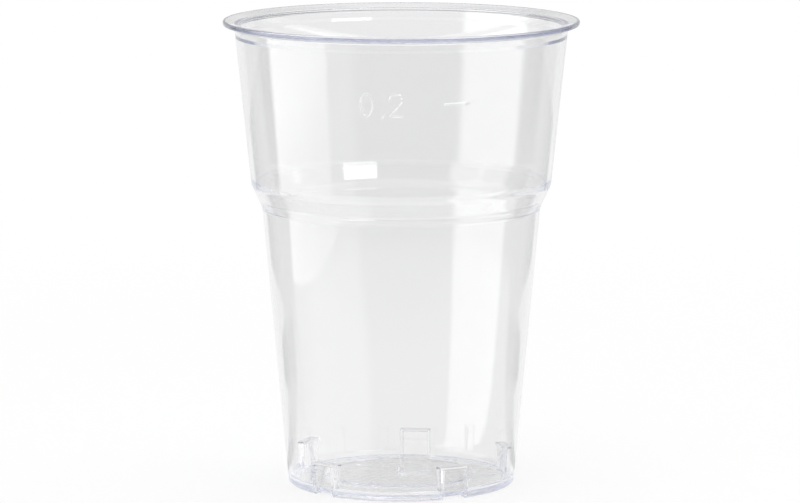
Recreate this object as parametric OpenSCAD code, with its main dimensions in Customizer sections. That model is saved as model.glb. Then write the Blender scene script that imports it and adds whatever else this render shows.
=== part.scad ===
// Clear drinking tumbler, moulded in one piece
// Millimetres, +Z up, origin at the middle of the foot on the table, front towards -Y

/* [Height and lip] */
// Overall height
cup_h = 98.5; // [90:0.5:110]
// Outside diameter of the lip
rim_d = 75; // [66:0.5:84]
// How far the lip stands out from the wall
lip_reach = 2.25; // [1.5:0.05:4]
// Thickness of the lip at its edge
lip_t = 1.1; // [0.8:0.05:1.6]
// Fall of the lip's upper face from its edge to the mouth
lip_fall = 0.9; // [0.4:0.1:1.4]
// Rounding of the lip's two edges
lip_round = 0.4; // [0.1:0.05:0.4]
// Rounding where the mouth turns over into the lip
mouth_round = 0.4; // [0.2:0.1:1]
// Fillet under the lip
under_lip_round = 0.4; // [0.1:0.1:0.6]

/* [Recess inside the mouth] */
// Depth of the recess under the top of the lip
recess_drop = 2.9; // [2.2:0.1:5]
// How far the recess reaches into the wall
recess_step = 0.15; // [0.1:0.05:0.4]
// Height of the slope under the recess
recess_slope = 0.7; // [0.2:0.1:1]
// Rounding of the slope's two edges
recess_round = 0.2; // [0:0.05:0.3]

/* [Upper wall] */
// How much the upper wall's radius shrinks from the top down to the shoulder
upper_draft = 3.65; // [2:0.05:5]
// Thickness of the upper wall
upper_wall = 1.15; // [0.8:0.05:1.4]

/* [Stacking shoulder] */
// Height of the shoulder's lower corner
shoulder_z = 58.8; // [45:0.5:70]
// Height of the shoulder
shoulder_h = 4.9; // [3.5:0.1:8]
// How far the shoulder steps in
shoulder_step = 2.25; // [1.5:0.05:3.5]
// Rounding of the shoulder's corners
shoulder_round = 3; // [0.5:0.5:4]
// Thickness of the shoulder
shoulder_wall = 1.4; // [0.9:0.05:1.6]

/* [Lower wall and foot] */
// How much the lower wall's radius shrinks from the shoulder down to the table
lower_draft = 5.45; // [3:0.05:8]
// Thickness of the lower wall
lower_wall = 0.8; // [0.7:0.05:1.2]
// Rounding of the foot's outer edge
foot_round = 0.8; // [0.3:0.1:1.2]
// Width of the ring that the cup stands on, with its outer rounding
land_w = 2.4; // [2:0.1:3.4]
// Height of the ring under the floor
land_h = 0.6; // [0.4:0.1:1.2]
// Slope of the ring's inner side, as an offset
land_draft = 0.15; // [0.05:0.05:0.3]

/* [Floor] */
// Thickness of the floor
floor_t = 0.7; // [0.6:0.05:1.4]
// Rounding between the floor and the wall
floor_round = 1.5; // [0.4:0.1:2]
// Width of the flat floor between the ring and the raised disc
disc_gap = 5.5; // [3:0.5:10]
// Rise of the disc
disc_rise = 0.6; // [0.2:0.1:1]
// Slope at the disc's edge, as an offset
disc_slope = 0.8; // [0.3:0.1:1.5]
// Rounding at the foot and the top of that slope
disc_round = 0.3; // [0.1:0.05:0.4]
// Diameter of the gate mark in the middle of the floor
gate_d = 1.6; // [1:0.1:3]
// Height of the gate mark
gate_h = 1.2; // [0.3:0.1:1.5]
// Taper of the gate mark, as an offset
gate_taper = 0.2; // [0.05:0.05:0.3]

/* [Foot panels] */
// Number of flat panels round the foot
panel_count = 5; // [3:1:8]
// Turn of the first panel from the front
panel_turn = 28.2; // [0:0.1:60]
// Width of a panel
panel_w = 5.5; // [3:0.1:8]
// Height of a panel's upper ledge over the table
panel_top = 6.5; // [5:0.1:12]
// Depth of a panel behind the wall at the foot
panel_depth_low = 1.1; // [0.8:0.1:1.6]
// Depth of a panel behind the wall at its ledge
panel_depth_top = 2.4; // [1.2:0.1:3]
// Thickness of the wall behind a panel
panel_wall = 0.8; // [0.7:0.05:1.2]
// Thickness of the walls at a panel's two sides
panel_side = 0.5; // [0.4:0.05:1]
// Thickness of the ledge over a panel
panel_ledge = 0.4; // [0.4:0.05:1]

/* [Hidden] */
$fn = 180;

// Steps in each rounded corner of the section
corner_steps = 6;
// How far a cut runs past the surface it cuts
over = 2;
// Share of the wall that a panel's backing reaches into
bite = 0.5;
front = -90;

rim_r = rim_d / 2;
floor_top = land_h + floor_t;

// The outside as straight stretches, worked out from the lip down: points are [radius, height]
top_p = [rim_r - lip_reach, cup_h];
upper_p = [top_p.x - upper_draft, shoulder_z + shoulder_h];
lower_p = [upper_p.x - shoulder_step, shoulder_z];
foot_p = [lower_p.x - lower_draft, 0];

// Radius of a stretch, a pair of points, at a height
function at_height(line, z) =
    line[0].x + (line[1].x - line[0].x) * (z - line[0].y) / (line[1].y - line[0].y);

// The stretch from a to b, moved inwards by a wall
function inside(a, b, wall) =
    let (d = (b - a) / norm(b - a), n = [-d.y, d.x] * wall)
    [a + n, b + n];

// Point where two stretches meet
function meet(l, m) =
    let (d = l[1] - l[0], e = m[1] - m[0], g = m[0] - l[0])
    l[0] + d * (g.x * e.y - g.y * e.x) / (d.x * e.y - d.y * e.x);

// Corner b between a and c as an arc of radius r
function corner(a, b, c, r) =
    r <= 0 ? [b] :
    let (u = (a - b) / norm(a - b), v = (c - b) / norm(c - b))
    let (half = acos(u * v) / 2)
    let (mid = b + (u + v) / norm(u + v) * r / sin(half))
    let (p = b + u * r / tan(half) - mid, q = b + v * r / tan(half) - mid)
    let (start = atan2(p.y, p.x), turn = atan2(q.y, q.x) - start)
    let (sweep = turn > 180 ? turn - 360 : turn < -180 ? turn + 360 : turn)
    [for (k = [0:corner_steps]) mid + r * [cos(start + sweep * k / corner_steps),
                                           sin(start + sweep * k / corner_steps)]];

// A closed outline whose points are [radius, height, rounding]
function rounded(pts) =
    let (n = len(pts), at = function(i) [pts[i % n].x, pts[i % n].y])
    [for (i = [0:n - 1]) each corner(at(i + n - 1), at(i), at(i + 1), pts[i].z)];

lower_out = [foot_p, lower_p];
upper_out = [upper_p, top_p];
lower_in = inside(foot_p, lower_p, lower_wall);
shoulder_in = inside(lower_p, upper_p, shoulder_wall);
upper_in = inside(upper_p, top_p, upper_wall);
low_corner_in = meet(lower_in, shoulder_in);
high_corner_in = meet(shoulder_in, upper_in);

// The lip: both faces fall together from its edge towards the mouth,
// and its edge peaks above the overall height by what its rounding takes off
mouth_r = at_height(upper_in, cup_h - lip_fall) + recess_step;
lip_slope = lip_fall / (rim_r - mouth_r);
lip_peak = cup_h + lip_round * (lip_slope + norm([1, lip_slope]) - 1);
mouth_z = lip_peak - lip_fall;
lip_low = lip_peak - lip_t;
under_lip = meet(upper_out, [[rim_r, lip_low], [rim_r - lip_reach, lip_low - lip_reach * lip_slope]]);
recess_z = cup_h - recess_drop;
recess_foot_z = recess_z - recess_slope;

land_in_r = foot_p.x - land_w;
disc_r = land_in_r - disc_gap;

// Half section of the cup, from the axis out along the underside, up and back in
section = rounded([
    [0, land_h + disc_rise, 0],
    [disc_r - disc_slope, land_h + disc_rise, disc_round],
    [disc_r, land_h, disc_round],
    [land_in_r, land_h, land_draft],
    [land_in_r + land_draft, 0, land_draft],
    [foot_p.x, foot_p.y, foot_round],
    [lower_p.x, lower_p.y, shoulder_round],
    [upper_p.x, upper_p.y, shoulder_round],
    [under_lip.x, under_lip.y, under_lip_round],
    [rim_r, lip_low, lip_round],
    [rim_r, lip_peak, lip_round],
    [mouth_r, mouth_z, mouth_round],
    [at_height(upper_in, recess_z) + recess_step, recess_z, recess_round],
    [at_height(upper_in, recess_foot_z), recess_foot_z, recess_round],
    [high_corner_in.x, high_corner_in.y, shoulder_round],
    [low_corner_in.x, low_corner_in.y, shoulder_round],
    [at_height(lower_in, floor_top), floor_top, floor_round],
    [disc_r, floor_top, disc_round],
    [disc_r - disc_slope, floor_top + disc_rise, disc_round],
    [0, floor_top + disc_rise, 0]
]);

// A panel's face from its foot to its ledge
panel_low_r = at_height(lower_out, land_h) - panel_depth_low;
panel_top_r = at_height(lower_out, panel_top) - panel_depth_top;
backing_top = panel_top + panel_ledge;
backing_low = land_h + floor_t * bite;

// Bar across the cup's radius: its side view, [radius, height], and its width
module bar(side, width) {
    rotate([90, 0, 0]) linear_extrude(height = width, center = true) polygon(side);
}

module panel_places() {
    for (i = [0:panel_count - 1])
        rotate([0, 0, front + panel_turn + i * 360 / panel_count]) children();
}

// Everything inside the middle of the lower wall
module lower_core() {
    mid = inside(foot_p, lower_p, lower_wall * bite);
    rotate_extrude() polygon([
        [0, backing_low],
        [at_height(mid, backing_low), backing_low],
        [at_height(mid, backing_top), backing_top],
        [0, backing_top]
    ]);
}

// The wall steps in behind each panel, so that it keeps its thickness
module panel_backing() {
    intersection() {
        bar([
            [panel_low_r - panel_wall, backing_low],
            [rim_r, backing_low],
            [rim_r, backing_top],
            [panel_top_r - panel_wall, backing_top]
        ], panel_w + 2 * panel_side);
        lower_core();
    }
}

// Pocket in front of a panel
module panel_pocket() {
    bar([
        [panel_low_r, land_h],
        [rim_r, land_h],
        [rim_r, panel_top],
        [panel_top_r, panel_top]
    ], panel_w);
}

// Gap in the ring under a panel
module land_gap() {
    bar([
        [land_in_r - over, -over],
        [rim_r, -over],
        [rim_r, land_h],
        [land_in_r - over, land_h]
    ], panel_w);
}

module gate_mark() {
    translate([0, 0, floor_top + disc_rise - floor_t * bite])
        cylinder(h = gate_h + floor_t * bite, r1 = gate_d / 2, r2 = gate_d / 2 - gate_taper);
}

module cup() {
    color([0.90, 0.92, 0.96, 0.45]) difference() {
        union() {
            rotate_extrude() polygon(section);
            panel_places() panel_backing();
            gate_mark();
        }
        panel_places() {
            panel_pocket();
            land_gap();
        }
    }
}

cup();
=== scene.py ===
import math

import bpy
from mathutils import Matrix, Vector


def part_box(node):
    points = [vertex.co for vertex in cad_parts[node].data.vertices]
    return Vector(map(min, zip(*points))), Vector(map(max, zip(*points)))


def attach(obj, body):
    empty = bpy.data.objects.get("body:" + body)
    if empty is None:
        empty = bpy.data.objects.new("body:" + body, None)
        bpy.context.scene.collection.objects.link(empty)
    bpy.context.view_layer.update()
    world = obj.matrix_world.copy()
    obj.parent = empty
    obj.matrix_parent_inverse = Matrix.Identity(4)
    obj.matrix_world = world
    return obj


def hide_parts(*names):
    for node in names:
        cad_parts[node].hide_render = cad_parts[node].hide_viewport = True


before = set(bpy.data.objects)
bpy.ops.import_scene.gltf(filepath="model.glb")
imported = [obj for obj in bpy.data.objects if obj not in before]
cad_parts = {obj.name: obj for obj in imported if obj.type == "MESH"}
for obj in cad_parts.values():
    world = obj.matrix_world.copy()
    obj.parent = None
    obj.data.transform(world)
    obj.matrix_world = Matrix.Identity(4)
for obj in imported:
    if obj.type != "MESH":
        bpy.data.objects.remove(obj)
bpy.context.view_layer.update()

_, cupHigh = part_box("cup")


# A socket of a node tree, so that maths on it can be written as plain expressions
class Wire:
    def __init__(self, sheet, socket):
        self.sheet = sheet
        self.socket = socket

    def __add__(self, other):
        return self.sheet.maths("ADD", self, other)

    def __radd__(self, other):
        return self.sheet.maths("ADD", other, self)

    def __sub__(self, other):
        return self.sheet.maths("SUBTRACT", self, other)

    def __rsub__(self, other):
        return self.sheet.maths("SUBTRACT", other, self)

    def __mul__(self, other):
        return self.sheet.maths("MULTIPLY", self, other)

    def __rmul__(self, other):
        return self.sheet.maths("MULTIPLY", other, self)

    def __truediv__(self, other):
        return self.sheet.maths("DIVIDE", self, other)

    def __rtruediv__(self, other):
        return self.sheet.maths("DIVIDE", other, self)

    def does(self, operation, *others):
        return self.sheet.maths(operation, self, *others)

    def low(self, other):
        return self.does("MINIMUM", other)

    def high(self, other):
        return self.does("MAXIMUM", other)

    # from self to other as share goes from 0 to 1
    def blend(self, other, share):
        return self + (other - self) * share

    # 0 at start, 1 at end, smooth between and level beyond
    def ease(self, start, end):
        settings = {"interpolation_type": "SMOOTHSTEP"}
        values = {"Value": self, "From Min": start, "From Max": end}
        return self.sheet.node("ShaderNodeMapRange", settings, values)


# A node tree that is written into with one method
class Sheet:
    def __init__(self, tree):
        self.tree = tree

    def node(self, kind, settings=None, values=None, out=0):
        made = self.tree.nodes.new(kind)
        for name, value in (settings or {}).items():
            setattr(made, name, value)
        for key, value in (values or {}).items():
            if isinstance(value, Wire):
                self.tree.links.new(value.socket, made.inputs[key])
            else:
                made.inputs[key].default_value = value
        return Wire(self, made.outputs[out] if made.outputs else None)

    def maths(self, operation, *values):
        return self.node("ShaderNodeMath", {"operation": operation}, dict(enumerate(values)))

    def other(self, wire, out):
        return Wire(self, wire.socket.node.outputs[out])

    def vector(self, x, y, z):
        return self.node("ShaderNodeCombineXYZ", None, {0: x, 1: y, 2: z})

    def split(self, vector):
        parts = self.node("ShaderNodeSeparateXYZ", None, {0: vector})
        return [self.other(parts, out) for out in ("X", "Y", "Z")]


# The cup's own sizes, in metres. Its height and the lip's diameter come from the cup's part in model.glb.
cup = {
    "lipThickness": 0.0011,
    "lipFall": 0.0009,
    "lipReach": 0.00225,
    "lipRound": 0.0004,
    "mouthRound": 0.0004,
    "underLipRound": 0.0004,
    "recessDrop": 0.0029,
    "recessStep": 0.00015,
    "recessSlope": 0.0007,
    "recessRound": 0.0002,
    "upperDraft": 0.00365,
    "upperWall": 0.00115,
    "shoulderHeight": 0.0588,
    "shoulderRise": 0.0049,
    "shoulderStep": 0.00225,
    "shoulderRound": 0.003,
    "shoulderWall": 0.0014,
    "lowerDraft": 0.00545,
    "lowerWall": 0.0008,
    "footRound": 0.0008,
    "ringWidth": 0.0024,
    "ringHeight": 0.0006,
    "ringDraft": 0.00015,
    "floorThickness": 0.0007,
    "floorRound": 0.0015,
    "discGap": 0.0055,
    "discRise": 0.0006,
    "discSlope": 0.0008,
    "discRound": 0.0003,
    "gateRadius": 0.0008,
    "gateHeight": 0.0012,
    "gateTaper": 0.0002,
    "gateRound": 0.0002,
    # heights of the skin's further rows on the straight walls
    "outerRows": {"low": [0.0025, 0.0043], "high": [0.0085, 0.014, 0.023, 0.034, 0.046]},
    "upperRows": {"low": [0.07, 0.0765], "high": [0.0905]},
    "upperInnerRows": [0.09, 0.08, 0.072],
    "innerRows": {"high": [0.046, 0.034, 0.023, 0.014, 0.0095], "low": [0.005]},
}

# Flat panels round the foot. The skin's columns are finer at each panel and for a margin beside it.
panels = {
    "count": 5,
    "turn": 28.2,
    "width": 0.0055,
    "top": 0.0065,
    "depthLow": 0.0011,
    "depthTop": 0.0024,
    "wall": 0.0008,
    "side": 0.0005,
    "ledge": 0.0004,
    "margin": 0.0012,
    "step": 0.0005,
}

# Relief of the fill mark, as arc length from the front and height on the upper wall
fillMark = {
    "low": 0.08195,
    "high": 0.0866,
    "zero": -0.00705,
    "comma": -0.0035,
    "two": -0.001,
    "digitWidth": 0.0026,
    "lineStart": 0.009,
    "lineEnd": 0.0139,
    "line": 0.0844,
    "relief": 0.00022,
    "flat": 0.0001,
    "edge": 0.00016,
    "ovalSteps": 24,
    "commaStroke": [(0.0002, 0.0004), (-0.0003, -0.0005)],
    "bowAngles": (170, -41, -15),
    "rowStep": 0.00017,
    "rowMargin": 4,
    "columnStep": 0.3,
    "columnMargin": 0.0004,
}

# Flow marks that the melt left in the floor: a shallow relief on both of its sides
flowMarks = {
    "relief": 0.00006,
    "length": 0.0046,
    "detail": 1.2,
    "roughness": 0.55,
    "distortion": 1.0,
    "edge": 0.0015,
    "gateEdgeShare": 0.1,
    "seed": 3.0,
    "sideSeed": 7.0,
    "step": 0.0006,
}

# The skin's steps: degrees between columns, distance for merging, degrees past which an edge is sharp
mesh = {
    "columnStep": 1.25,
    "merge": 0.000002,
    "sharp": 38,
}


# Radius of a straight stretch of the section at a height
def radiusAt(low, high, z):
    return low.x + (high.x - low.x) * (z - low.y) / (high.y - low.y)


# The stretch from a to b moved inwards by a wall
def movedIn(a, b, wall):
    along = (b - a).normalized()
    step = Vector((-along.y, along.x)) * wall
    return a + step, b + step


# Where the stretches a to b and c to d meet
def crossing(a, b, c, d):
    u = b - a
    v = d - c
    return a + u * ((c.x - a.x) * v.y - (c.y - a.y) * v.x) / (u.x * v.y - u.y * v.x)


# Corner at b between a and c as an arc
def roundedCorner(a, b, c, radius, steps):
    if radius <= 0:
        return [b]
    u = (a - b).normalized()
    v = (c - b).normalized()
    half = math.acos(u.dot(v)) / 2
    centre = b + (u + v).normalized() * radius / math.sin(half)
    first = b + u * radius / math.tan(half) - centre
    last = b + v * radius / math.tan(half) - centre
    start = math.atan2(first.y, first.x)
    turn = math.remainder(math.atan2(last.y, last.x) - start, math.tau)
    return [
        centre + radius * Vector((math.cos(start + turn * k / steps), math.sin(start + turn * k / steps)))
        for k in range(steps + 1)
    ]


# Even places from start to end, at most a step apart, give or take a rounding
def spread(start, end, step):
    count = max(1, math.ceil(abs(end - start) / step - 1e-6))
    return [start + (end - start) * k / count for k in range(count + 1)]


# The half section's corners and the places that the panels are worked out from
def sectionShape(c, p):
    rimRadius = cupHigh.x
    height = cupHigh.z
    topOut = Vector((rimRadius - c["lipReach"], height))
    upperOut = Vector((topOut.x - c["upperDraft"], c["shoulderHeight"] + c["shoulderRise"]))
    lowerOut = Vector((upperOut.x - c["shoulderStep"], c["shoulderHeight"]))
    footOut = Vector((lowerOut.x - c["lowerDraft"], 0))
    lowerIn = movedIn(footOut, lowerOut, c["lowerWall"])
    shoulderIn = movedIn(lowerOut, upperOut, c["shoulderWall"])
    upperIn = movedIn(upperOut, topOut, c["upperWall"])
    floorTop = c["ringHeight"] + c["floorThickness"]
    ringIn = footOut.x - c["ringWidth"]
    disc = ringIn - c["discGap"]

    mouthRadius = radiusAt(*upperIn, height - c["lipFall"]) + c["recessStep"]
    slope = c["lipFall"] / (rimRadius - mouthRadius)
    peak = height + c["lipRound"] * (slope + math.hypot(1, slope) - 1)
    lipLow = peak - c["lipThickness"]
    lipEdge = Vector((rimRadius, lipLow))
    underLip = crossing(upperOut, topOut, lipEdge, lipEdge - Vector((1, slope)))
    recess = height - c["recessDrop"]
    recessFoot = recess - c["recessSlope"]
    gateTop = floorTop + c["discRise"] + c["gateHeight"]

    # radius, height, rounding, steps of the rounding
    corners = {
        "underMiddle": (0, c["ringHeight"] + c["discRise"], 0, 0),
        "underDiscTop": (disc - c["discSlope"], c["ringHeight"] + c["discRise"], c["discRound"], 4),
        "underDiscFoot": (disc, c["ringHeight"], c["discRound"], 4),
        "ringIn": (ringIn, c["ringHeight"], c["ringDraft"], 3),
        "ringFoot": (ringIn + c["ringDraft"], 0, c["ringDraft"], 3),
        "foot": (footOut.x, 0, c["footRound"], 8),
        "shoulderLow": (lowerOut.x, lowerOut.y, c["shoulderRound"], 10),
        "shoulderHigh": (upperOut.x, upperOut.y, c["shoulderRound"], 10),
        "underLip": (underLip.x, underLip.y, c["underLipRound"], 5),
        "lipLow": (rimRadius, lipLow, c["lipRound"], 7),
        "lipPeak": (rimRadius, peak, c["lipRound"], 8),
        "mouth": (mouthRadius, peak - c["lipFall"], c["mouthRound"], 8),
        "recess": (radiusAt(*upperIn, recess) + c["recessStep"], recess, c["recessRound"], 4),
        "recessFoot": (radiusAt(*upperIn, recessFoot), recessFoot, c["recessRound"], 4),
        "shoulderHighIn": (*crossing(*shoulderIn, *upperIn), c["shoulderRound"], 10),
        "shoulderLowIn": (*crossing(*lowerIn, *shoulderIn), c["shoulderRound"], 10),
        "floor": (radiusAt(*lowerIn, floorTop), floorTop, c["floorRound"], 9),
        "discFoot": (disc, floorTop, c["discRound"], 4),
        "discTop": (disc - c["discSlope"], floorTop + c["discRise"], c["discRound"], 4),
        "gateFoot": (c["gateRadius"], floorTop + c["discRise"], c["gateRound"], 4),
        "gateTop": (c["gateRadius"] - c["gateTaper"], gateTop, c["gateRound"], 5),
        "middle": (0, gateTop, 0, 0),
    }
    faceLow = Vector((radiusAt(footOut, lowerOut, c["ringHeight"]) - p["depthLow"], c["ringHeight"]))
    faceTop = Vector((radiusAt(footOut, lowerOut, p["top"]) - p["depthTop"], p["top"]))
    backLow = Vector((faceLow.x - p["wall"], c["ringHeight"] + c["floorThickness"] / 2))
    backTop = Vector((faceTop.x - p["wall"], p["top"] + p["ledge"]))
    places = {
        "ringIn": ringIn,
        "faceLow": faceLow,
        "faceTop": faceTop,
        "ledge": radiusAt(footOut, lowerOut, p["top"]),
        "backLow": backLow,
        "backTop": backTop,
        "upperOut": upperOut,
        "topOut": topOut,
    }
    return corners, places


# The rows of the skin, from the axis out below, up and back in: radius, height, inner, reached by a panel
def sectionRows(corners, places, c, p, mark, flow):
    margin = mark["rowMargin"] * mark["rowStep"]
    markRows = spread(mark["low"] - margin, mark["high"] + margin, mark["rowStep"])
    backTop = places["backTop"].y
    outer, upper, innerWall = c["outerRows"], c["upperRows"], c["innerRows"]
    # heights of further rows on the straight stretch that follows a corner, two at each ledge of a panel
    between = {
        "foot": outer["low"] + [p["top"], p["top"]] + outer["high"],
        "shoulderHigh": upper["low"] + markRows + upper["high"],
        "recessFoot": c["upperInnerRows"],
        "shoulderLowIn": innerWall["high"] + [backTop, backTop] + innerWall["low"],
    }
    # level stretches that the flow marks need further rows on
    level = ["underMiddle", "underDiscFoot", "floor", "discTop"]
    names = list(corners)
    points = {name: Vector(corners[name][:2]) for name in names}
    rows = []
    inner = 0
    reached = 1
    for k, name in enumerate(names):
        if name == "mouth":
            inner = 1
        radius, steps = corners[name][2:]
        end = points[names[(k + 1) % len(names)]]
        arc = roundedCorner(points[names[k - 1]], points[name], end, radius, steps)
        rows += [(q.x, q.y, inner, reached) for q in arc]
        start = arc[-1]
        if name in level:
            away = (end - start).normalized() * (corners[names[k + 1]][2] + flow["step"])
            radii = spread(start.x, (end - away).x, flow["step"])[1:]
            rows += [(x, start.y, inner, reached) for x in radii]
        for z in between.get(name, []):
            ledge = backTop if inner else p["top"]
            if z == ledge and rows[-1][1] == z:
                reached = 1 - reached
            rows.append((radiusAt(start, end, z), z, inner, reached))
    return rows


# The columns of the skin: turn from the front, distance to the side of that turn, in a pocket, in a backing
def skinColumns(p, mark, markRadius, ringRadius, step):
    half = p["width"] / 2
    back = half + p["side"]
    edge = back + p["margin"]
    side = []
    for low, high, outer, inner in (
        (-edge, -back, 0, 0),
        (-back, -half, 0, 1),
        (-half, half, 1, 1),
        (half, back, 0, 1),
        (back, edge, 0, 0),
    ):
        side += [(place, outer, inner) for place in spread(low, high, p["step"])]
    pitch = 360 / p["count"]
    centres = [p["turn"] + (k - p["count"] // 2) * pitch for k in range(p["count"])]
    # the columns at a panel spread widest at the ring
    gap = math.degrees(math.asin(edge / ringRadius)) + step / 2
    reach = mark["digitWidth"] / 2 + mark["columnMargin"]
    fine = [
        (mark["zero"] - reach, mark["two"] + reach),
        (mark["lineStart"] - mark["columnMargin"], mark["lineStart"] + mark["columnMargin"]),
    ]
    fine = [[math.degrees(place / markRadius) for place in pair] for pair in fine]
    columns = []
    for centre in centres:
        columns += [(centre, place, outer, inner) for place, outer, inner in side]
        start = centre + gap
        end = centre + pitch - gap
        stops = [start] + sorted(a for pair in fine for a in pair if start < a < end) + [end]
        for a, b in zip(stops, stops[1:]):
            dense = any(low <= (a + b) / 2 <= high for low, high in fine)
            columns += [(turn, 0.0, 0, 0) for turn in spread(a, b, mark["columnStep"] if dense else step)]
    columns.append((columns[0][0] + 360,) + columns[0][1:])
    return columns


# Strokes of the fill mark as lines: an oval, a comma, a two and the level line
def markStrokes(m):
    half = m["digitWidth"] / 2
    middle = (m["low"] + m["high"]) / 2
    tall = (m["high"] - m["low"]) / 2
    angles = [k * math.tau / m["ovalSteps"] for k in range(m["ovalSteps"] + 1)]
    oval = [(m["zero"] + half * math.cos(a), middle + tall * math.sin(a)) for a in angles]
    comma = [(m["comma"] + x, m["low"] + z) for x, z in m["commaStroke"]]
    # the two is a bow as wide as a digit, with its foot
    angles = [math.radians(a) for a in range(*m["bowAngles"])]
    two = [(m["two"] + half * math.cos(a), m["high"] - half + half * math.sin(a)) for a in angles]
    two += [(m["two"] - half, m["low"]), (m["two"] + half, m["low"])]
    level = [(m["lineStart"], m["line"]), (m["lineEnd"], m["line"])]
    return [oval, comma, two, level]


# Lines that the skin is made from: the section's rows, the columns and the strokes
def lineMesh(rows, columns, strokes):
    points = [(r, 0, z) for r, z, inner, reached in rows]
    points += [(math.radians(math.remainder(turn, 360)), side, 0) for turn, side, outer, inner in columns]
    edges = []
    for stroke in strokes:
        edges += [(len(points) + k, len(points) + k + 1) for k in range(len(stroke) - 1)]
        points += [(x, z, 0) for x, z in stroke]
    data = bpy.data.meshes.new("cupLines")
    data.from_pydata(points, edges, [])
    blank = [0.0] * (len(points) - len(rows) - len(columns))
    first = [row[2] for row in rows] + [column[2] for column in columns] + blank
    second = [row[3] for row in rows] + [column[3] for column in columns] + blank
    stroke = [0.0] * (len(rows) + len(columns)) + [1.0] * len(blank)
    for name, values in (("first", first), ("second", second), ("stroke", stroke)):
        data.attributes.new(name, "FLOAT", "POINT").data.foreach_set("value", values)
    return data


# A geometry tree with named inputs, in a modifier of the thing that sets them
def geometrySheet(thing, name, inputs):
    tree = bpy.data.node_groups.new(name, "GeometryNodeTree")
    tree.interface.new_socket("Geometry", in_out="INPUT", socket_type="NodeSocketGeometry")
    tree.interface.new_socket("Geometry", in_out="OUTPUT", socket_type="NodeSocketGeometry")
    modifier = thing.modifiers.new(name, "NODES")
    sockets = {}
    for label, value in inputs.items():
        kind = "NodeSocketInt" if isinstance(value, int) else "NodeSocketFloat"
        sockets[label] = tree.interface.new_socket(label, in_out="INPUT", socket_type=kind).identifier
    modifier.node_group = tree
    for label, value in inputs.items():
        modifier[sockets[label]] = value
    sheet = Sheet(tree)
    group = sheet.node("NodeGroupInput")
    wires = {label: sheet.other(group, label) for label in inputs}
    return sheet, group, wires


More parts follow.
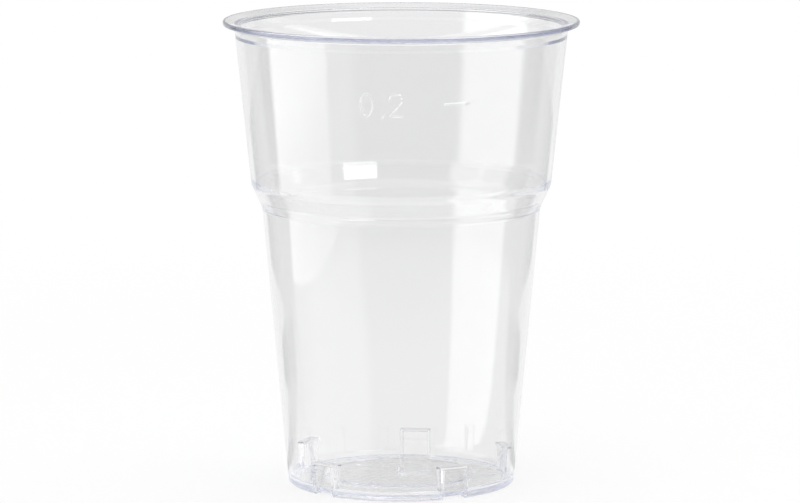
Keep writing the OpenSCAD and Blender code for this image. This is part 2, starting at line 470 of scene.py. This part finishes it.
def skinTree(thing, rows, columns, places, c, p, mark, markRadius, flow, material):
    sheet, lines, wire = geometrySheet(thing, "cupSkin", {
        "Rows": len(rows),
        "Columns": len(columns),
        "Ring Radius": places["ringIn"],
        "Ring Height": c["ringHeight"],
        "Ledge Radius": places["ledge"],
        "Panel Low Radius": places["faceLow"].x,
        "Panel Top Radius": places["faceTop"].x,
        "Panel Top": p["top"],
        "Back Low Radius": places["backLow"].x,
        "Back Low": places["backLow"].y,
        "Back Top Radius": places["backTop"].x,
        "Back Top": places["backTop"].y,
        "Mark Radius": markRadius,
        "Mark Flat": mark["flat"],
        "Mark Edge": mark["edge"],
        "Mark Relief": mark["relief"],
        "Flow Relief": flow["relief"],
        "Flow Scale": 1 / flow["length"],
        "Flow Edge": flow["edge"],
        "Flow Seed": flow["seed"],
        "Flow Side Seed": flow["sideSeed"],
        "Gate Edge": flow["edge"] * flow["gateEdgeShare"],
        "Gate Radius": c["gateRadius"],
        "Merge Distance": mesh["merge"],
    })
    rowCount = wire["Rows"]
    columnCount = wire["Columns"]
    grid = sheet.node("GeometryNodeMeshGrid", None, {"Vertices X": rowCount, "Vertices Y": columnCount})
    index = sheet.node("GeometryNodeInputIndex")
    row = ((index + 0.5) / columnCount).does("FLOOR")
    column = index - row * columnCount

    def named(name):
        return sheet.node("GeometryNodeInputNamedAttribute", {"data_type": "FLOAT"}, {"Name": name})

    def sampled(value, place, kind):
        values = {"Geometry": lines, "Value": value, "Index": place}
        return sheet.node("GeometryNodeSampleIndex", {"data_type": kind}, values)

    position = sheet.node("GeometryNodeInputPosition")
    radius, _, height = sheet.split(sampled(position, row, "FLOAT_VECTOR"))
    inner = sampled(named("first"), row, "FLOAT")
    reached = sampled(named("second"), row, "FLOAT")
    turn, side, _ = sheet.split(sampled(position, column + rowCount, "FLOAT_VECTOR"))
    inPocket = sampled(named("first"), column + rowCount, "FLOAT")
    inBacking = sampled(named("second"), column + rowCount, "FLOAT")

    # the point as seen from the axis: away along the column's turn, and beside it
    beside = side * (radius / wire["Ring Radius"]).low(1.0) * (radius / wire["Ledge Radius"]).high(1.0)
    away = (radius * radius - beside * beside).high(0.0).does("SQRT")
    cut = reached * inPocket.blend(inBacking, inner)
    lifted = height.high(wire["Ring Height"])
    faceShare = (lifted - wire["Ring Height"]) / (wire["Panel Top"] - wire["Ring Height"])
    backShare = (height - wire["Back Low"]) / (wire["Back Top"] - wire["Back Low"])
    face = wire["Panel Low Radius"].blend(wire["Panel Top Radius"], faceShare)
    backFace = wire["Back Low Radius"].blend(wire["Back Top Radius"], backShare)
    limit = face.blend(backFace, inner)
    away = away.blend(away.low(limit), cut)
    height = height.blend(lifted.blend(height, inner), cut)

    # the strokes stand out of the wall
    angle = turn + beside.does("ARCTAN2", away)
    onWall = sheet.vector(angle * wire["Mark Radius"], height, 0.0)
    values = {0: lines, "Selection": named("stroke")}
    strokes = sheet.node("GeometryNodeSeparateGeometry", {"domain": "POINT"}, values)
    values = {"Geometry": strokes, "Sample Position": onWall}
    near = sheet.node("GeometryNodeProximity", {"target_element": "EDGES"}, values, "Distance")
    raised = near.ease(wire["Mark Flat"] + wire["Mark Edge"], wire["Mark Flat"])
    away = away + raised * (1 - inner) * wire["Mark Relief"]

    sine = turn.does("SINE")
    cosine = turn.does("COSINE")
    x = beside * cosine + away * sine
    y = beside * sine - away * cosine

    # the floor's two sides carry flow marks of their own
    ring = wire["Ring Radius"]
    gate = wire["Gate Radius"]
    edge = wire["Flow Edge"]
    onFloor = radius.ease(ring, ring - edge) * radius.ease(gate + wire["Gate Edge"], gate + edge)
    flowing = sheet.node("ShaderNodeTexNoise", {"noise_dimensions": "4D"}, {
        "Vector": sheet.vector(x, y, 0.0),
        "W": wire["Flow Seed"] + inner * wire["Flow Side Seed"],
        "Scale": wire["Flow Scale"],
        "Detail": flow["detail"],
        "Roughness": flow["roughness"],
        "Distortion": flow["distortion"],
    })
    height = height + (flowing - 0.5) * 2 * wire["Flow Relief"] * onFloor
    place = sheet.vector(x, y, height)
    skin = sheet.node("GeometryNodeSetPosition", None, {"Geometry": grid, "Position": place})
    values = {"Geometry": skin, "Distance": wire["Merge Distance"]}
    skin = sheet.node("GeometryNodeMergeByDistance", None, values)
    skin = sheet.node("GeometryNodeFlipFaces", None, {0: skin})
    skin = sheet.node("GeometryNodeSetShadeSmooth", None, {0: skin})
    skin = sheet.node("GeometryNodeRealizeInstances", None, {0: skin})
    skin = sheet.node("GeometryNodeSetMaterial", None, {"Geometry": skin, "Material": material})
    sheet.node("NodeGroupOutput", None, {0: skin})


# The evaluated shape becomes a plain mesh, and the modifiers come off
def bake(thing):
    graph = bpy.context.evaluated_depsgraph_get()
    data = bpy.data.meshes.new_from_object(thing.evaluated_get(graph), depsgraph=graph)
    thing.modifiers.clear()
    thing.data = data


# Clear polystyrene: the tint of one pass through its surface, its waves, grain and duller patches,
# what its depth takes away, and a painted glow inside it that stands in for the light it scatters
plastic = {
    "tint": (0.933, 0.933, 0.933),
    "ior": 1.59,
    "wave": {"scale": 70, "stretch": 0.4, "detail": 1.5, "height": 0.00002, "seed": 11},
    "grain": {"scale": 2600, "detail": 2.0, "height": 0.0000004, "seed": 5},
    "roughness": (0.0, 0.03),
    "patch": {"scale": 160, "detail": 3.0, "ends": (0.5, 0.75), "seed": 8},
    "depthTint": (0.6, 0.62, 0.76),
    "depthDensity": 20.0,
    # painted glow: the level of light that the plastic's inside gives off, in place of the light it
    # scatters
    "paintedGlowLevel": (0.24, 0.26, 0.34),
    "shadow": (0.93, 0.935, 0.95),
}


def clearPlastic(p):
    material = bpy.data.materials.new("clearPolystyrene")
    material.use_nodes = True
    tree = material.node_tree
    tree.nodes.clear()
    sheet = Sheet(tree)
    place = sheet.node("ShaderNodeTexCoord", None, None, "Object")

    def noise(c, where):
        values = {"Vector": where, "W": c["seed"], "Scale": c["scale"], "Detail": c["detail"]}
        return sheet.node("ShaderNodeTexNoise", {"noise_dimensions": "4D"}, values)

    # the walls wave a little along the way that the melt flowed, under a fine grain
    wave = p["wave"]
    values = {0: place, 1: (1, 1, wave["stretch"])}
    along = sheet.node("ShaderNodeVectorMath", {"operation": "MULTIPLY"}, values)
    waving = sheet.node("ShaderNodeBump", None, {"Height": noise(wave, along), "Distance": wave["height"]})
    grain = {"Height": noise(p["grain"], place), "Distance": p["grain"]["height"], "Normal": waving}
    normal = sheet.node("ShaderNodeBump", None, grain)
    # patches that are less glossy
    clean, dull = p["roughness"]
    rough = clean + (dull - clean) * noise(p["patch"], place).ease(*p["patch"]["ends"])
    shell = sheet.node("ShaderNodeBsdfPrincipled", None, {
        "Base Color": (*p["tint"], 1),
        "Roughness": rough,
        "IOR": p["ior"],
        "Transmission Weight": 1.0,
        "Normal": normal,
    })
    pane = sheet.node("ShaderNodeBsdfTransparent", None, {"Color": (*p["shadow"], 1)})
    path = sheet.node("ShaderNodeLightPath", None, None, "Is Shadow Ray")
    surface = sheet.node("ShaderNodeMixShader", None, {0: path, 1: shell, 2: pane})
    depth = sheet.node("ShaderNodeVolumeAbsorption", None, {
        "Color": (*p["depthTint"], 1),
        "Density": p["depthDensity"],
    })
    # painted glow: the plastic's inside emits white light in place of the light all round that it would
    # scatter towards the camera, and it comes to its level on a long way through it
    paintedGlowColour = [level * (1 - tint) for level, tint in zip(p["paintedGlowLevel"], p["depthTint"])]
    glow = sheet.node("ShaderNodeEmission", None, {"Color": (*paintedGlowColour, 1), "Strength": p["depthDensity"]})
    inside = sheet.node("ShaderNodeAddShader", None, {0: depth, 1: glow})
    sheet.node("ShaderNodeOutputMaterial", None, {"Surface": surface, "Volume": inside})
    return material


def makeCup():
    corners, places = sectionShape(cup, panels)
    rows = sectionRows(corners, places, cup, panels, fillMark, flowMarks)
    markRadius = radiusAt(places["upperOut"], places["topOut"], (fillMark["low"] + fillMark["high"]) / 2)
    columns = skinColumns(panels, fillMark, markRadius, places["ringIn"], mesh["columnStep"])
    material = clearPlastic(plastic)
    thing = bpy.data.objects.new("tumblerCup", lineMesh(rows, columns, markStrokes(fillMark)))
    bpy.context.scene.collection.objects.link(thing)
    skinTree(thing, rows, columns, places, cup, panels, fillMark, markRadius, flowMarks, material)
    bake(thing)
    thing.data.set_sharp_from_angle(angle=math.radians(mesh["sharp"]))
    # the flat stretches keep their own normals, so that only the rounded corners look bent
    normals = thing.modifiers.new("normals", "WEIGHTED_NORMAL")
    normals.keep_sharp = True
    bake(thing)
    triangles = sum(len(face.vertices) - 2 for face in thing.data.polygons)
    print(f"cup: {len(rows)} rows, {len(columns)} columns, {triangles} triangles")
    return thing


# The camera stands 1 m in front of the cup and looks a little down on it
camera = {
    "away": 0.995,
    "height": 0.199,
    "aim": (-0.00027, 0, 0.0492),
    "pixelFocus": 4756,
    "sensor": 36,
    "imageWidth": 800,
    "clipEnd": 20,
}


def makeCamera(c):
    data = bpy.data.cameras.new("camera")
    data.sensor_width = c["sensor"]
    data.lens = c["pixelFocus"] * c["sensor"] / c["imageWidth"]
    data.clip_end = c["clipEnd"]
    thing = bpy.data.objects.new("camera", data)
    thing.location = (0, -c["away"], c["height"])
    thing.rotation_euler = (Vector(c["aim"]) - thing.location).to_track_quat("-Z", "Y").to_euler()
    bpy.context.scene.collection.objects.link(thing)
    bpy.context.scene.camera = thing


# Even white light all round, a pale floor that turns white away from the cup, and one lamp
studio = {
    "worldLight": 0.89,
    "floorSize": 8.0,
    "floorColour": (0.97, 0.97, 0.97),
    "floorGlow": 0.72,
    "floorNear": 0.12,
    "floorFar": 0.4,
    "keyTurn": 34,
    "keyTilt": 46,
    "keyAway": 1.0,
    "keyWidth": 0.46,
    "keyHeight": 0.4,
    "keyRadiance": 4.0,
    "bounces": 128,
}


# The place at a turn from the front, a tilt above the table and a distance
def around(turn, tilt, away):
    turn = math.radians(turn)
    tilt = math.radians(tilt)
    flat = math.cos(tilt) * away
    return Vector((flat * math.sin(turn), -flat * math.cos(turn), math.sin(tilt) * away))


def makeKeyLamp(s):
    data = bpy.data.lights.new("keyLamp", "AREA")
    data.shape = "RECTANGLE"
    data.size = s["keyWidth"]
    data.size_y = s["keyHeight"]
    data.energy = s["keyRadiance"] * math.pi * s["keyWidth"] * s["keyHeight"]
    thing = bpy.data.objects.new("keyLamp", data)
    thing.location = around(s["keyTurn"], s["keyTilt"], s["keyAway"])
    thing.rotation_euler = (-thing.location).to_track_quat("-Z", "Y").to_euler()
    bpy.context.scene.collection.objects.link(thing)


# 1 for the background as it is seen, directly or through and in clear things, and 0 for its light
def seenBackground(sheet):
    path = sheet.node("ShaderNodeLightPath")
    seen = sheet.other(path, "Is Camera Ray").high(sheet.other(path, "Is Glossy Ray"))
    return seen.high(sheet.other(path, "Is Transmission Ray"))


def makeWorld(s):
    world = bpy.data.worlds.new("studio")
    bpy.context.scene.world = world
    world.use_nodes = True
    world.node_tree.nodes.clear()
    sheet = Sheet(world.node_tree)
    strength = s["worldLight"] + seenBackground(sheet) * (1 - s["worldLight"])
    glow = sheet.node("ShaderNodeBackground", None, {"Color": (1, 1, 1, 1), "Strength": strength})
    sheet.node("ShaderNodeOutputWorld", None, {"Surface": glow})


def floorMaterial(s):
    material = bpy.data.materials.new("paleFloor")
    material.use_nodes = True
    material.node_tree.nodes.clear()
    sheet = Sheet(material.node_tree)
    place = sheet.node("ShaderNodeTexCoord", None, None, "Object")
    away = sheet.node("ShaderNodeVectorMath", {"operation": "LENGTH"}, {0: place}, "Value")
    share = s["floorGlow"] + (1 - s["floorGlow"]) * away.ease(s["floorNear"], s["floorFar"])
    matt = sheet.node("ShaderNodeBsdfDiffuse", None, {"Color": (*s["floorColour"], 1)})
    values = {"Color": (1, 1, 1, 1), "Strength": seenBackground(sheet)}
    glow = sheet.node("ShaderNodeEmission", None, values)
    surface = sheet.node("ShaderNodeMixShader", None, {0: share, 1: matt, 2: glow})
    sheet.node("ShaderNodeOutputMaterial", None, {"Surface": surface})
    return material


def makeFloor(s):
    half = s["floorSize"] / 2
    points = [(-half, -half, 0), (half, -half, 0), (half, half, 0), (-half, half, 0)]
    data = bpy.data.meshes.new("floor")
    data.from_pydata(points, [], [(0, 1, 2, 3)])
    data.materials.append(floorMaterial(s))
    thing = bpy.data.objects.new("floor", data)
    bpy.context.scene.collection.objects.link(thing)


# Card all round the cup with a ceiling: a ring on the table, pale near the cup and grey further off,
# and dark walls, with the softboxes as bright parts of both. Only light that was mirrored once meets
# it, so that what is seen straight through the cup stays white. The outside of the front wall mirrors
# the ring, and the inside of the back wall mirrors the walls.
# Turns are degrees from the front, other places are metres: away from the axis on the ring, height on
# the walls. Each level is a brightness, where 1 is white.
screen = {
    "ringIn": 0.025,
    "ringHeight": 0.0006,
    "ringTop": 0.0012,
    "away": 0.45,
    "top": 0.64,
    "columns": 72,
    "passes": 3.0,
    # the ring in front, brighter to the left, then its grey sides and its pale rear
    "ring": {"near": 1.0, "far": 0.6, "ends": (0.17, 0.215)},
    "side": {
        "start": -101, "end": -33, "soft": 5,
        "level": 0.42, "less": 0.6, "lessEnds": (-70, -95),
    },
    "beside": {"ends": (101, 108), "level": 0.6},
    "behind": {"ends": (143, 150), "level": 0.94},
    # close to the cup the left side and the rear reach further to the front, but for a dark band
    "nearTurn": {"ends": (0.2, 0.05), "turn": 8},
    "nearRear": {"ends": (0.26, 0.16), "turn": 24, "more": 0.05},
    "darkBand": {"start": 0.1, "end": 0.155, "soft": 0.012, "turn": 9, "less": 0.18},
    # softboxes: one lies on the ring past a straight edge and shows at the left, the other two hang on
    # the walls, where the inside of the cup turns them over, so that one of them shows at the right
    "leftBox": {
        "start": -103, "end": -52, "soft": 2.5,
        "level": 2.3, "more": 0.15, "moreEnds": (-56, -76),
        "edgeTurn": -83, "edgeAway": 0.174, "edgeSoft": 0.004,
        "fadeEnds": (0.34, 0.22), "fade": 0.27,
    },
    "rightBox": {
        "start": -108, "end": -49, "soft": 5,
        "level": 2.45, "topEnds": (0.26, 0.3), "topLess": 0.4,
    },
    "keyBox": {
        "start": 24, "end": 57, "soft": 1,
        "level": 4.0, "low": 0.3, "high": 0.487, "edge": 0.0008,
    },
    # the walls, pale at their foot, and white towards the ceiling
    "foot": {"level": 0.75, "ends": (0.02, 0.075)},
    "skyEnds": (0.5, 0.6),
    "rear": {
        "ends": (134, 142),
        "base": 0.9,
        "lowEnds": (0.05, 0.085),
        "level": 0.66,
        "upperEnds": (0.2, 0.3),
        "upper": 0.4,
        "topEnds": (0.398, 0.412),
    },
}


def screenMaterial(c):
    material = bpy.data.materials.new("screen")
    material.use_nodes = True
    material.node_tree.nodes.clear()
    sheet = Sheet(material.node_tree)
    x, y, z = sheet.split(sheet.node("ShaderNodeTexCoord", None, None, "Object"))
    turn = x.does("ARCTAN2", y * -1.0) * (180 / math.pi)
    away = (x * x + y * y).does("SQRT")

    def inside(value, low, high, soft):
        return value.ease(low - soft, low + soft) * value.ease(high + soft, high - soft)

    def across(box, place=turn):
        return inside(place, box["start"], box["end"], box["soft"])

    # the ring on the table
    box = c["ring"]
    ring = box["near"] + (box["far"] - box["near"]) * away.ease(*box["ends"])
    box = c["side"]
    shifted = turn - away.ease(*c["nearTurn"]["ends"]) * c["nearTurn"]["turn"]
    ring = ring + across(box, shifted) * (1 - box["less"] * turn.ease(*box["lessEnds"])) * box["level"]
    box = c["leftBox"]
    edgeTurn = math.radians(box["edgeTurn"])
    past = x * math.sin(edgeTurn) - y * math.cos(edgeTurn)
    lit = past.ease(box["edgeAway"] - box["edgeSoft"], box["edgeAway"] + box["edgeSoft"])
    left = box["level"] + box["more"] * turn.ease(*box["moreEnds"])
    left = left * (1 - box["fade"] * past.ease(*box["fadeEnds"]))
    ring = ring.blend(left, across(box) * lit)
    beside = turn.does("ABSOLUTE")
    close = away.ease(*c["nearRear"]["ends"])
    band = across(c["darkBand"], away)
    level = c["beside"]["level"] + close * c["nearRear"]["more"] - band * c["darkBand"]["less"]
    ring = ring.blend(level, beside.ease(*c["beside"]["ends"]))
    rearward = beside + close * c["nearRear"]["turn"] - band * c["darkBand"]["turn"]
    ring = ring.blend(c["behind"]["level"], rearward.ease(*c["behind"]["ends"]))

    # the walls and the ceiling
    box = c["rightBox"]
    right = across(box) * (1 - box["topLess"] * z.ease(*box["topEnds"])) * box["level"]
    box = c["keyBox"]
    key = across(box) * inside(z, box["low"], box["high"], box["edge"]) * box["level"]
    foot = z.ease(*reversed(c["foot"]["ends"])) * c["foot"]["level"]
    wall = foot.high(right).high(key).high(z.ease(*c["skyEnds"]))
    box = c["rear"]
    rear = box["base"] + (box["level"] - box["base"]) * z.ease(*box["lowEnds"])
    rear = rear.blend(box["upper"], z.ease(*box["upperEnds"])).blend(1.0, z.ease(*box["topEnds"]))
    wall = wall.blend(rear, beside.ease(*box["ends"]))

    # light that has been through several walls meets the walls' colours on the ring too
    path = sheet.node("ShaderNodeLightPath")
    deep = sheet.other(path, "Transmission Depth").does("GREATER_THAN", c["passes"])
    onWall = z.does("GREATER_THAN", c["ringTop"]).high(deep)
    glow = sheet.node("ShaderNodeEmission", None, {"Color": ring.blend(wall, onWall)})
    clear = sheet.node("ShaderNodeBsdfTransparent")
    # only light that was mirrored once
    once = sheet.other(path, "Glossy Depth").does("COMPARE", 1.0, 0.5)
    surface = sheet.node("ShaderNodeMixShader", None, {0: once, 1: clear, 2: glow})
    sheet.node("ShaderNodeOutputMaterial", None, {"Surface": surface})
    return material


def makeScreen(c):
    outline = [
        (c["ringIn"], c["ringHeight"]),
        (c["away"], c["ringHeight"]),
        (c["away"], c["top"]),
        (0, c["top"]),
    ]
    points = []
    faces = []
    for k in range(c["columns"] + 1):
        turn = math.tau * (k / c["columns"] - 0.5)
        points += [(r * math.sin(turn), -r * math.cos(turn), z) for r, z in outline]
    for k in range(c["columns"]):
        for j in range(len(outline) - 1):
            a = k * len(outline) + j
            faces.append((a, a + 1, a + len(outline) + 1, a + len(outline)))
    data = bpy.data.meshes.new("screen")
    data.from_pydata(points, [], faces)
    data.materials.append(screenMaterial(c))
    thing = bpy.data.objects.new("screen", data)
    thing.visible_camera = False
    thing.visible_diffuse = False
    thing.visible_shadow = False
    bpy.context.scene.collection.objects.link(thing)


# Light runs a long way inside the lip and the foot ring before it comes out
cycles = bpy.context.scene.cycles
cycles.max_bounces = studio["bounces"]
cycles.transmission_bounces = studio["bounces"]
cycles.glossy_bounces = studio["bounces"]

bpy.context.scene.view_settings.view_transform = "Standard"
makeCamera(camera)
makeWorld(studio)
makeKeyLamp(studio)
makeFloor(studio)
makeScreen(screen)
print("studio: camera, world, lamp, floor and card")

tumbler = makeCup()
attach(tumbler, "root")
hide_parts("cup")
